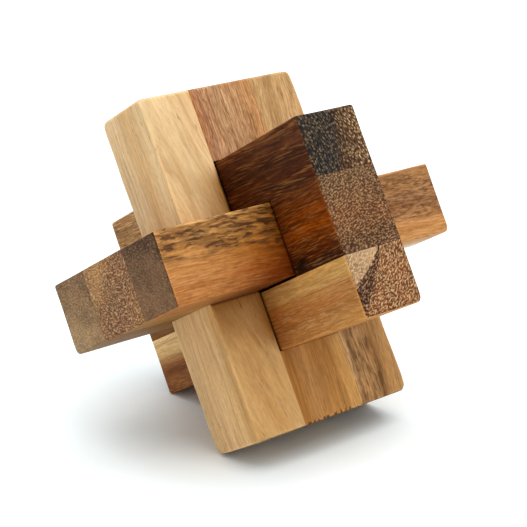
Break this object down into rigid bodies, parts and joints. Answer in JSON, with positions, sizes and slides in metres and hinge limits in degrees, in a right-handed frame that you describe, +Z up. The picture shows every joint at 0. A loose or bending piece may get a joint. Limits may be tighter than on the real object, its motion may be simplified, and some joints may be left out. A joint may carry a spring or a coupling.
{
  "type": "wooden burr puzzle",
  "caption": "Take-apart wooden burr puzzle of slotted boards, glued up from rails and blocks, that pass through one another; a forked key board slides out sideways to free the rest.",
  "frame": {"origin": "on the table, under the middle of the puzzle as it lies", "axes": "+X to the right along the key board, +Y away from the viewer, +Z up; the puzzle leans back about the X axis as it lies on two edges"},
  "size_m": [0.1, 0.1141, 0.0972],
  "materials": {
    "pale_sapwood": "sanded satin",
    "grey_tan_wood": "sanded satin",
    "red_brown_wood": "sanded satin",
    "golden_wood": "sanded satin",
    "dark_heartwood": "sanded satin",
    "orange_brown_wood": "sanded satin",
    "grey_brown_wood": "sanded satin"
  },
  "bodies": {
    "upright_board": {"upright_left_rail": "pale_sapwood", "upright_right_rail": "grey_tan_wood", "upright_top_block": "red_brown_wood", "upright_bottom_block": "golden_wood"},
    "through_board": {"through_upper_rail": "dark_heartwood", "through_lower_rail": "golden_wood", "through_front_block": "orange_brown_wood", "through_back_block": "orange_brown_wood"},
    "key_board": {"key_front_rail": "golden_wood", "key_back_rail": "grey_brown_wood", "key_end_block": "grey_brown_wood"}
  },
  "joints": [
    {"name": "key_slide", "type": "slide", "parent": "upright_board", "child": "key_board", "axis": [-1, 0, 0], "range_m": [0, 0.09]},
    {"name": "through_play", "type": "slide", "parent": "upright_board", "child": "through_board", "axis": [0, -0.8764, 0.4816], "range_m": [-0.00035, 0.00035]}
  ]
}
